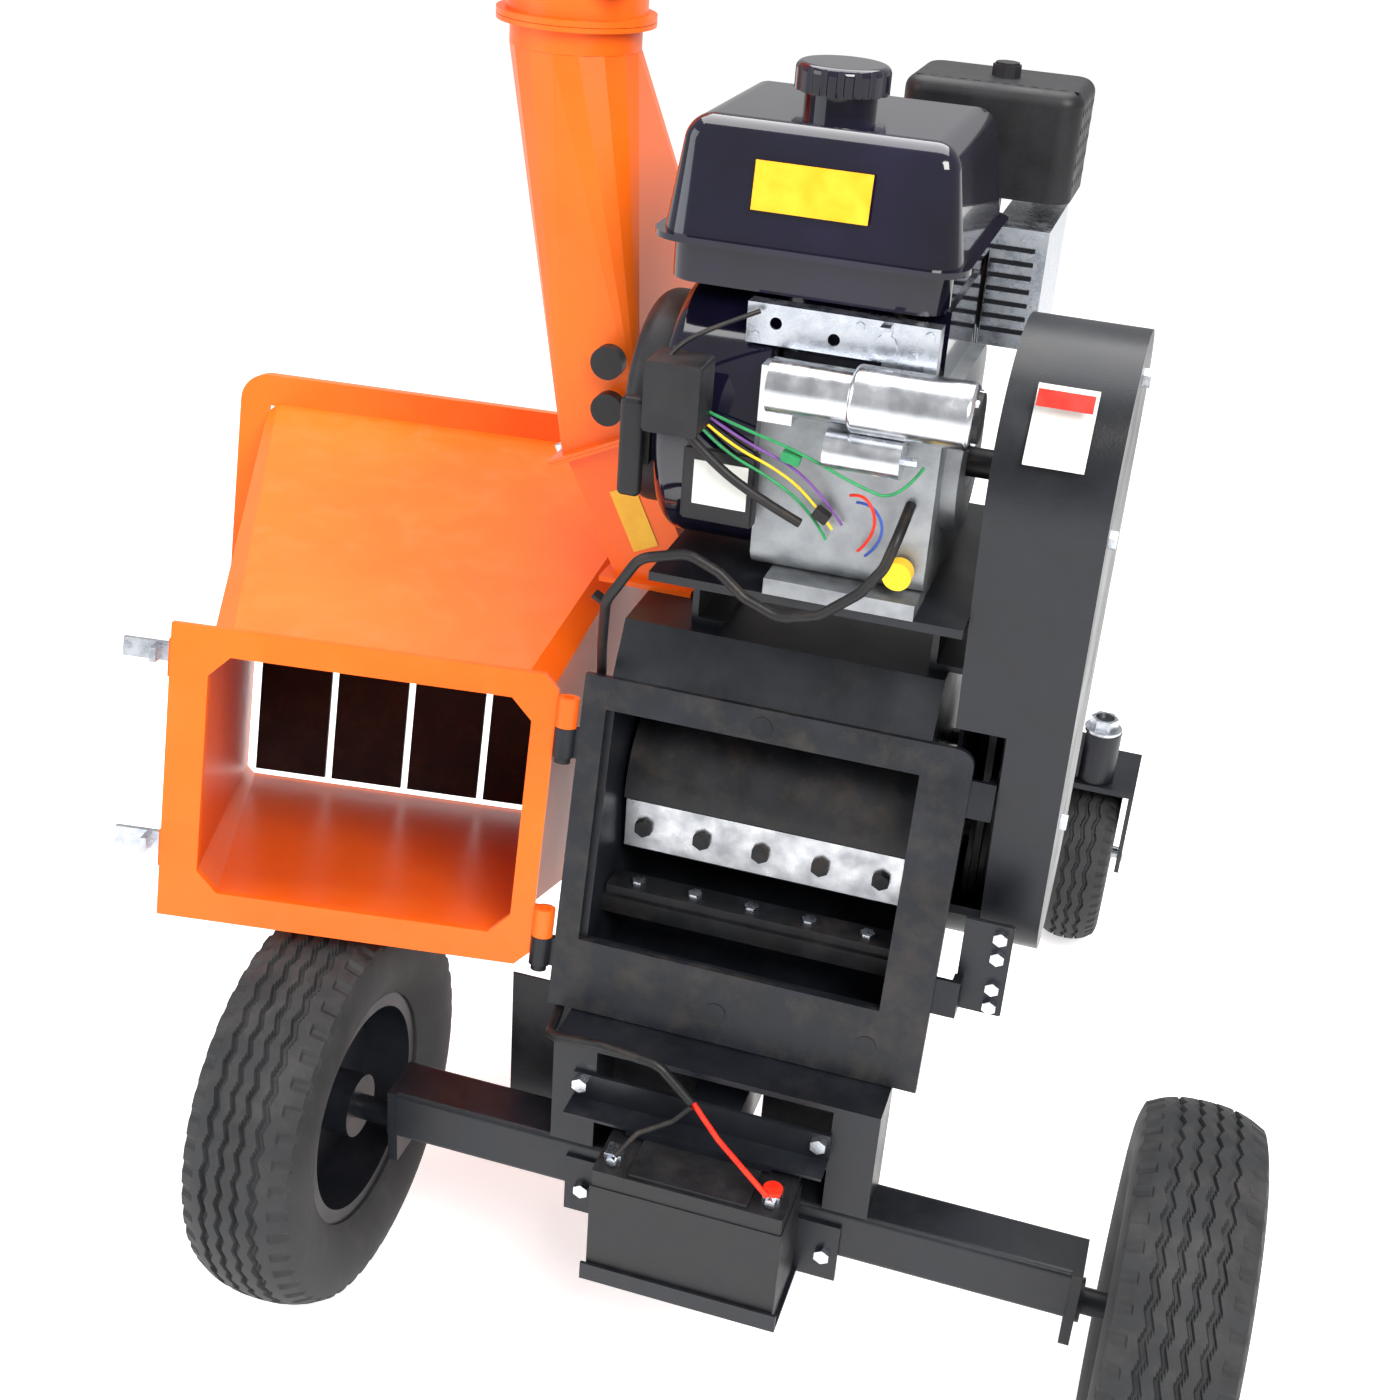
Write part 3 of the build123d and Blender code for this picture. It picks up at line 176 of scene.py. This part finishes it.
# ---- frame, housing and guard --------------------------------------------
# Welded tube and plate with a satin black powder coat. The chamber flange, where
# brushwood goes in, carries more dust than the rest.
black_powder = finish_of(
    "black_powder_coat", "121419", "191c23", (0.3, 0.44), blotch=0.06, bump=0.2, dust=0.1,
    dust_colour="56504a"
)
dusty_black = finish_of(
    "dusty_black_plate", "14161b", "1c1f26", (0.32, 0.48), blotch=0.05, bump=0.22, dust=0.3,
    dust_colour="6e5f4c"
)
dress("axle_beam frame_legs drum_housing guard_back_plate tow_bar battery_mount", black_powder)
dress("caster_fork hitch_coupler flange_fittings left_rim right_rim caster_rim", black_powder)
dress("belt_guard", black_powder, edge=2.0)
dress("engine_platform", black_powder, edge=1.0)
dress("chamber_flange", dusty_black)

# ---- drum and knives -----------------------------------------------------
# The drum, bed knife and shafts are dark rolled steel. The drum's knives are
# ground bright.
rolled_steel = finish_of(
    "dark_rolled_steel", "141518", "1c1d21", (0.36, 0.5), 0.2, blotch=0.03, bump=0.25, dust=0.06
)
ground_steel = finish_of(
    "ground_knife_steel", "b4b6ba", "96999e", (0.24, 0.4), 1.0, blotch=0.02, bump=0.1, dust=0.05
)
dress("drum bed_knife hinge_pins crankshaft", rolled_steel)
dress("knives", ground_steel)

# ---- plated pieces -------------------------------------------------------
# Bolts, latch levers and pressed brackets are zinc plated steel, and the starter
# motor's body is a brighter plated cylinder.
zinc_plate = finish_of("bright_zinc_plate", "b9bfc8", "d4d8de", (0.2, 0.36), 1.0, blotch=0.01, bump=0.15)
bright_zinc = finish_of(
    "bright_starter_steel", "c9ccd2", "e2e4e8", (0.16, 0.3), 1.0, blotch=0.02, bump=0.08
)
dress("frame_fasteners upper_latch_lever lower_latch_lever heat_shield", zinc_plate)
dress("throttle_lever battery_terminals control_bracket caster_axle_bolt", zinc_plate)
dress("starter_motor", bright_zinc)

# ---- castings ------------------------------------------------------------
# The crankcase and cylinder are bare sand-cast aluminium, and the bearing
# carriers, muffler and knife bolts are dark iron and blackened steel.
cast_alloy = finish_of(
    "cast_aluminium", "8f9296", "a7aaad", (0.4, 0.58), 0.9, blotch=0.02, grain=0.0012, bump=0.6, dust=0.2,
    dust_colour="6b6157"
)
cast_iron = finish_of(
    "dark_cast_iron", "232427", "333437", (0.45, 0.65), 0.7, blotch=0.02, grain=0.0015, bump=0.6,
    dust=0.15
)
dress("crankcase cylinder", cast_alloy)
dress("drum_bearings muffler knife_bolts", cast_iron)

# ---- engine shells and mouldings -----------------------------------------
# The tank and blower housing are glossy black, with a violet sheen painted into their base colour. The
# battery case, air cleaner, recoil pieces and knobs are matte black mouldings.
violet_sheen_black_shell = finish_of(
    "gloss_black_shell_painted_violet_sheen", "0b0a18", "131026", (0.08, 0.16), blotch=0.09, bump=0.03, coat=0.6
)
black_moulding = finish_of(
    "matte_black_moulding", "131316", "1b1b1f", (0.4, 0.56), blotch=0.03, bump=0.25, dust=0.12,
    dust_colour="5c554c"
)
yellow_moulding = finish_of("yellow_moulding", "e9b70d", "f2c722", (0.3, 0.4), blotch=0.02, bump=0.1)
dress("fuel_tank", violet_sheen_black_shell, edge=2.0)
dress("blower_housing fuel_cap", violet_sheen_black_shell)
dress("battery_case", black_moulding, edge=1.5)
dress("air_cleaner recoil_cover recoil_grip regulator_box clamp_knobs", black_moulding)
dress("oil_cap", yellow_moulding)

# ---- rubber and cables ---------------------------------------------------
# Flaps, belts and the starter cable's cover are soft black rubber. The lead to
# the left terminal is black and the one to the right is red.
soft_black = finish_of(
    "soft_black_rubber", "0e0e10", "161618", (0.42, 0.58), blotch=0.03, bump=0.25, dust=0.08
)
red_sleeve = finish_of("red_sleeve", "d8210f", "e63318", (0.35, 0.5), blotch=0.01, bump=0.15)
dress("flap_curtain drive_belts starter_cable caster_tyre", soft_black)
dress("battery_leads", red_sleeve)
leads = nodes["battery_leads"]
leads.data.materials.append(soft_black)
split_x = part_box("battery_case")[0].x + 0.0750
for face in leads.data.polygons:
    if (leads.matrix_world @ face.center).x < split_x:
        face.material_index = 1

# ---- main tyres ----------------------------------------------------------
# Small highway trailer tyres: five zigzag ribs with narrow grooves, square
# shoulders cut by short sipes, and smooth walls that meet the steel wheel.
tread_rubber = finish_of(
    "dusty_tyre_rubber", "222325", "2f3032", (0.6, 0.78), blotch=0.03, grain=0.0015, bump=0.5, dust=0.25,
    dust_colour="66605a"
)


def mesh_object(name, build, material):
    """Object from a function that fills a bmesh, with one finish."""
    work = bmesh.new()
    build(work)
    bmesh.ops.recalc_face_normals(work, faces=work.faces)
    name = name.replace(" ", "_")
    data = bpy.data.meshes.new(name)
    work.to_mesh(data)
    work.free()
    data.materials.append(material)
    made = bpy.data.objects.new(name, data)
    bpy.context.scene.collection.objects.link(made)
    return made


def tyre_builder(centre, radius, rim, width, ribs, lugs):
    """Fills a bmesh with a tyre turning on X, its tread cut in zigzag grooves."""
    half = width / 2
    tread = half * 0.7

    def build(work):
        around = 288
        across = 57
        outline = []
        for step in range(13):
            u = step / 12
            bulge = 0.64 + 0.36 * math.sin(math.pi * (0.06 + 0.72 * u)) ** 0.7
            outline.append((-half * bulge, rim + 0.010 + (radius - 0.014 - rim - 0.010) * u))
        for step in range(across):
            x = -tread + 2 * tread * step / (across - 1)
            outline.append((x, radius - 0.007 * abs(x / tread) ** 2.5 - 0.0008))
        for x, r in reversed(outline[:13]):
            outline.append((-x, r))
        rings = []
        for turn in range(around):
            angle = 2 * math.pi * turn / around
            swing = abs(((turn * lugs / around) % 1.0) - 0.5) * 4 - 1
            row = []
            for x, r in outline:
                deep = 0.0
                if abs(x) < tread * 0.93 and r > radius - 0.009:
                    spot = ((x + swing * 0.0022) / (2 * tread) + 0.5) * ribs
                    near = abs(spot - round(spot))
                    if 0 < round(spot) < ribs and near < 0.16:
                        deep = 0.0045
                elif abs(x) > tread * 0.9 and r > radius - 0.018 and turn % 6 in (0, 1):
                    deep = 0.0028
                rr = r - deep
                row.append(
                    work.verts.new((centre[0] + x, centre[1] + rr * math.cos(angle),
                    centre[2] + rr * math.sin(angle)))
                )
            rings.append(row)
        for a, b in zip(rings, rings[1:] + rings[:1]):
            for i in range(len(outline) - 1):
                work.faces.new((a[i], a[i + 1], b[i + 1], b[i]))
            work.faces.new((a[-1], a[0], b[0], b[-1]))

    return build


for side in ("left", "right"):
    low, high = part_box(f"{side}_tyre")
    middle = (low + high) / 2
    tyre = mesh_object(
        f"{side} tyre", tyre_builder(middle, (high.z - low.z) / 2, 0.108, high.x - low.x, 5, 48),
        tread_rubber
    )
    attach(tyre, f"{side}_wheel")
    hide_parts(f"{side}_tyre")

low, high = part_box("caster_tyre")
middle = (low + high) / 2
tyre = mesh_object(
    "caster tyre", tyre_builder(middle, (high.z - low.z) / 2, 0.062, high.x - low.x, 4, 26), tread_rubber
)
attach(tyre, "caster_wheel")
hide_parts("caster_tyre")

# ---- place finder --------------------------------------------------------
# Later pieces are set out in millimetres from the axle's middle on the ground,
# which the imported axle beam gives.
axle_low, axle_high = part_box("axle_beam")
axle_origin = Vector(
    ((axle_low.x + axle_high.x) / 2 - 0.016, (axle_low.y + axle_high.y) / 2, axle_high.z - 0.2555)
)


def at(x, y, z):
    """Point in metres from millimetres beside the axle."""
    return axle_origin + Vector((x, y, z)) / 1000


def slab(name, centre, size, material, body="frame", turn=(0, 0, 0), edge=0.4):
    """Small plate or block with softened edges, turned about X, Y and Z in degrees."""

    def build(work):
        bmesh.ops.create_cube(work, size=1.0)
        bmesh.ops.scale(work, vec=Vector(size) / 1000, verts=work.verts)
        if edge:
            bmesh.ops.bevel(work, geom=list(work.edges), offset=edge / 1000, segments=2, affect="EDGES")
        spin = Matrix.Rotation(math.radians(turn[2]), 4, "Z") @ Matrix.Rotation(
            math.radians(turn[1]), 4, "Y"
        )
        spin = spin @ Matrix.Rotation(math.radians(turn[0]), 4, "X")
        bmesh.ops.transform(work, matrix=Matrix.Translation(at(*centre)) @ spin, verts=work.verts)

    made = mesh_object(name, build, material)
    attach(made, body)
    return made


def disc(name, centre, axis, radius, depth, material, body="frame", sides=32, edge=0.3):
    """Round or six-sided head, its foot at the centre and standing along the axis."""

    def build(work):
        bmesh.ops.create_cone(
            work, cap_ends=True, segments=sides, radius1=radius / 1000, radius2=radius / 1000,
            depth=depth / 1000
        )
        if edge:
            rims = []
            for e in work.edges:
                level_edge = abs(e.verts[0].co.z - e.verts[1].co.z) < 1e-7
                if level_edge and e.verts[0].co.z > 0:
                    rims.append(e)
            bmesh.ops.bevel(work, geom=rims, offset=edge / 1000, segments=2, affect="EDGES")
        way = Vector(axis).normalized()
        turn = way.to_track_quat("Z", "Y").to_matrix().to_4x4()
        bmesh.ops.transform(
            work, matrix=Matrix.Translation(at(*centre) + way * depth / 2000) @ turn, verts=work.verts
        )

    made = mesh_object(name, build, material)
    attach(made, body)
    return made


def wire(name, points, diameter, material, body="frame"):
    """Thin sleeve or pipe along a smooth line through given points."""
    name = name.replace(" ", "_")
    data = bpy.data.curves.new(name, "CURVE")
    data.dimensions = "3D"
    data.bevel_depth = diameter / 2000
    data.bevel_resolution = 4
    data.use_fill_caps = True
    line = data.splines.new("NURBS")
    line.points.add(len(points) - 1)
    for point, spot in zip(line.points, points):
        point.co = (*at(*spot), 1.0)
    line.order_u = 3
    line.use_endpoint_u = True
    line.resolution_u = 10
    data.materials.append(material)
    made = bpy.data.objects.new(name, data)
    bpy.context.scene.collection.objects.link(made)
    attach(made, body)
    return made


# ---- engine wiring -------------------------------------------------------
# Thin sleeved leads from the key box and regulator run across the crankcase
# to the ignition and the oil level switch, with taped bundles between them.
green_sleeve = finish_of("green_sleeve", "1c7a46", "2a8f55", (0.35, 0.5), blotch=0.01, bump=0.15)
blue_sleeve = finish_of("blue_sleeve", "27479c", "3558b0", (0.35, 0.5), blotch=0.01, bump=0.15)
purple_sleeve = finish_of("purple_sleeve", "6d3f8c", "7f50a0", (0.35, 0.5), blotch=0.01, bump=0.15)
wire(
    "long green lead", [(-84, 36, 985), (-40, 34, 972), (10, 30, 962), (60, 34, 940), (92, 40, 930),
    (108, 52, 958)], 2.6, green_sleeve
)
wire(
    "short green lead", [(-84, 38, 975), (-60, 40, 950), (-10, 42, 930), (20, 52, 905), (34, 58, 880)],
    2.6, green_sleeve
)
wire(
    "yellow lead", [(-80, 36, 978), (-52, 38, 956), (-2, 40, 938), (24, 50, 912), (38, 58, 890)], 2.4,
    yellow_moulding
)
wire(
    "purple lead", [(-76, 38, 980), (-44, 42, 960), (4, 44, 944), (32, 54, 915), (46, 58, 895)], 2.4,
    purple_sleeve
)
wire(
    "red loop", [(52, 50, 925), (66, 34, 935), (78, 36, 915), (72, 46, 890), (62, 56, 876)], 2.6,
    red_sleeve
)
wire(
    "blue loop", [(58, 50, 920), (72, 38, 926), (84, 40, 908), (78, 50, 884), (68, 58, 872)], 2.4,
    blue_sleeve
)
wire("taped bundle", [(-90, 30, 968), (-60, 30, 940), (-20, 34, 915), (14, 44, 896)], 8, soft_black)
wire(
    "throttle cable", [(-40, 68, 1058), (-70, 50, 1046), (-96, 30, 1032), (-100, 20, 1022)], 4, soft_black
)
wire(
    "fuel hose", [(60, 110, 1064), (86, 100, 1046), (104, 96, 1020), (108, 120, 990), (100, 180, 985)], 7,
    soft_black
)
slab(
    "green connector", (4, 34, 954), (16, 8, 9), green_sleeve, turn=(0, 12, 0), edge=0.8,
)
slab(
    "black connector", (30, 50, 904), (14, 9, 10), soft_black, turn=(0, 30, 0), edge=0.8,
)

# ---- engine trim ---------------------------------------------------------
# Zinc screws hold the control bracket and starter, the air cleaner has a row
# of breathing holes, and the blower housing carries a plain blank label.
pale_label = finish_of("pale_label_film", "c9c9c4", "d4d3ce", (0.3, 0.4), blotch=0.02, bump=0.05)
yellow_label = finish_of("yellow_label_film", "e3a41a", "ebb32a", (0.3, 0.4), blotch=0.02, bump=0.05)
for index, (x, z) in enumerate(((-44, 1036), (84, 1038), (96, 1056), (40, 1056))):
    disc(f"bracket screw {index}", (x, 74, z), (0, -1, 0), 4.2, 2.6, zinc_plate, sides=6)
for index, (y, z) in enumerate(((56, 1022), (32, 1022), (44, 988))):
    disc(f"starter screw {index}", (144, y, z), (1, 0, 0), 3.6, 2.4, zinc_plate, sides=6)
disc("starter cap", (144, 44, 1008), (1, 0, 0), 20, 4, black_moulding)
disc("solenoid post", (92, 40, 965), (1, 0, 0), 4, 12, zinc_plate, sides=6)
for index in range(12):
    disc(
        f"breathing hole {index}", (14 + index * 12.6, 352, 1205.8), (0, 0, 1), 3.2, 0.5, soft_black,
        edge=0
    )
for row in range(5):
    for column in range(6):
        disc(
            f"side hole {row} {column}", (159.8, 356 + column * 14, 1128 + row * 15), (1, 0, 0), 3.4, 0.5,
            soft_black, edge=0
        )
disc(
    "air cleaner knob", (84, 392, 1206), (0, 0, 1), 13, 12, black_moulding, sides=9, edge=2,
)
slab("starter relay cover", (-57, 49, 915), (62, 14, 64), black_moulding, edge=2)
slab(
    "blank housing label", (-55, 41.8, 917), (46, 0.6, 38), pale_label, turn=(0, 0, 0), edge=0.2,
)
slab(
    "tank label", (-12, 86.4, 1151), (94, 0.8, 38), yellow_label, turn=(-9, 0, 0), edge=0.2,
)
for index in range(10):
    angle = math.radians(36 * index)
    slab(f"cooling slot {index}", (-152.2, 156 + 56 * math.cos(angle), 946 + 56 * math.sin(angle)),
    (0.8, 34, 7), soft_black,
         turn=(math.degrees(angle), 0, 0), edge=0.3)
wire(
    "exhaust bend", [(124, 400, 1040), (126, 424, 1052), (130, 430, 1082), (132, 424, 1104)], 26,
    cast_iron
)
for index in range(7):
    slab(f"shield louvre {index}", (125, 283.4, 1010 + index * 12), (38, 1.2, 4), black_powder, edge=0.3)

# ---- flange heads --------------------------------------------------------
# Three low black round heads of plain steel, set into the chamber flange and
# coated with it, one above the mouth and two below.
for index, (x, up_slope) in enumerate(((-10, 311), (-15, 30), (128, 34))):
    lean = math.radians(12.1)
    foot = (x, 16.2 + up_slope * math.sin(lean), 377 + up_slope * math.cos(lean))
    disc(
        f"flange head {index}", foot, (0, -math.cos(lean), math.sin(lean)), 10, 0.5, black_powder,
        edge=0.2
    )

# ---- frame skirt ---------------------------------------------------------
# Dark sheet behind the legs closes the space under the cutting chamber, with a
# slot left free for the tow bar.
slab("skirt left sheet", (-130, 62, 284), (202, 2, 166), dusty_black, edge=0.4)
slab("skirt right sheet", (92, 62, 284), (122, 2, 166), dusty_black, edge=0.4)
slab("skirt upper sheet", (1, 62, 348), (58, 2, 38), dusty_black, edge=0.4)

# ---- bolted side plate ---------------------------------------------------
# Black plate beside the chamber with four zinc bolts in a column.
slab("side plate", (218, 63, 498), (44, 4, 98), black_powder, edge=1.0)
for index, z in enumerate((534, 513, 480, 460)):
    disc(f"side plate bolt {index}", (229, 61, z), (0, -1, 0), 7, 6, zinc_plate, sides=6)

# ---- labels --------------------------------------------------------------
# Plain printed films: a pale and red one at the top of the belt guard and a
# yellow one on the lower duct. They carry no words or signs.
red_label = finish_of("red_label_film", "b4261c", "c33328", (0.3, 0.4), blotch=0.02, bump=0.05)
slab(
    "guard label pale", (208, 58, 1006), (48, 0.8, 66), pale_label, turn=(-34, 0, 0), edge=0.2,
)
slab(
    "guard label red", (208, 57.2, 1028), (44, 1.0, 14), red_label, turn=(-34, 0, 0), edge=0.2,
)
slab(
    "duct label", (-177, 199.4, 806), (26, 0.8, 62), yellow_label, turn=(0, -26, 0), edge=0.2,
)
# The battery label takes the gloss black shell finish, whose violet tint is a painted sheen.
slab("battery label", (5, -104.4, 232), (96, 0.8, 62), violet_sheen_black_shell, edge=0.3)
disc("plus terminal cover", (79, -88, 316), (0, 0, 1), 9, 5, red_sleeve, edge=1)
slab("cable tie", (-150, 34, 800), (14, 12, 4), soft_black, turn=(0, 30, 0), edge=0.6)

# ---- floor, light and camera ---------------------------------------------
# A white floor that glows a little under wide soft lamps, with the key lamp high
# on the right behind the camera, as in a studio.
paving = finish_of("pale_studio_floor", "f4f4f4", "fafafa", (0.8, 0.9), blotch=0.6, bump=0.05)


def floor_build(work):
    bmesh.ops.create_grid(work, x_segments=1, y_segments=1, size=14)
    bmesh.ops.translate(work, vec=(0, 0, -0.0006), verts=work.verts)


glow = paving.node_tree.nodes["Principled BSDF"]
glow.inputs["Emission Color"].default_value = (1.0, 1.0, 1.0, 1.0)
glow.inputs["Emission Strength"].default_value = 0.55
floor = mesh_object("studio floor", floor_build, paving)
floor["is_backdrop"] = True


def lamp(name, spot, aim, size, power, tint):
    """Square soft lamp aimed at a point."""
    data = bpy.data.lights.new(name, "AREA")
    data.size = size
    data.energy = power
    data.color = tint
    made = bpy.data.objects.new(name, data)
    bpy.context.scene.collection.objects.link(made)
    made.location = at(*spot)
    made.rotation_euler = (at(*aim) - at(*spot)).to_track_quat("-Z", "Y").to_euler()


lamp("key lamp", (1500, -1900, 2900), (0, 100, 600), 1.6, 130, (1.0, 0.98, 0.95))
lamp("fill lamp", (-2300, -1500, 1900), (-200, 100, 500), 2.2, 45, (0.92, 0.96, 1.0))
lamp("top lamp", (-200, 900, 3200), (0, 200, 500), 2.4, 95, (1.0, 1.0, 1.0))

sky = bpy.data.worlds.new("studio air")
bpy.context.scene.world = sky
sky.use_nodes = True
air = sky.node_tree
backdrop = air.nodes["Background"]
backdrop.inputs["Color"].default_value = (1.0, 1.0, 1.0, 1)
seen = node(air, "ShaderNodeLightPath").outputs["Is Camera Ray"]
level_of_light = node(air, "ShaderNodeMapRange", {"To Min": 0.5, "To Max": 1.05}, Value=seen)
air.links.new(level_of_light.outputs["Result"], backdrop.inputs["Strength"])
bpy.context.scene.view_settings.view_transform = "Standard"
bpy.context.scene.view_settings.exposure = 0.0

yaw = math.radians(15.08)
pitch = math.radians(27.85)
roll = math.radians(4.43)
ahead = Vector((-math.sin(yaw) * math.cos(pitch), math.cos(yaw) * math.cos(pitch), -math.sin(pitch)))
level = Vector((math.cos(yaw), math.sin(yaw), 0))
over = level.cross(ahead)
right = level * math.cos(roll) + over * math.sin(roll)
up = over * math.cos(roll) - level * math.sin(roll)
view = bpy.data.cameras.new("camera")
view.lens = 48.21
view.sensor_width = 36.0
camera = bpy.data.objects.new("camera", view)
bpy.context.scene.collection.objects.link(camera)
facing = Matrix((right, up, -ahead)).transposed().to_4x4()
camera.matrix_world = Matrix.Translation(at(315.5, -1343.1, 1475.9)) @ facing
bpy.context.scene.camera = camera

write_size("after", size_store)
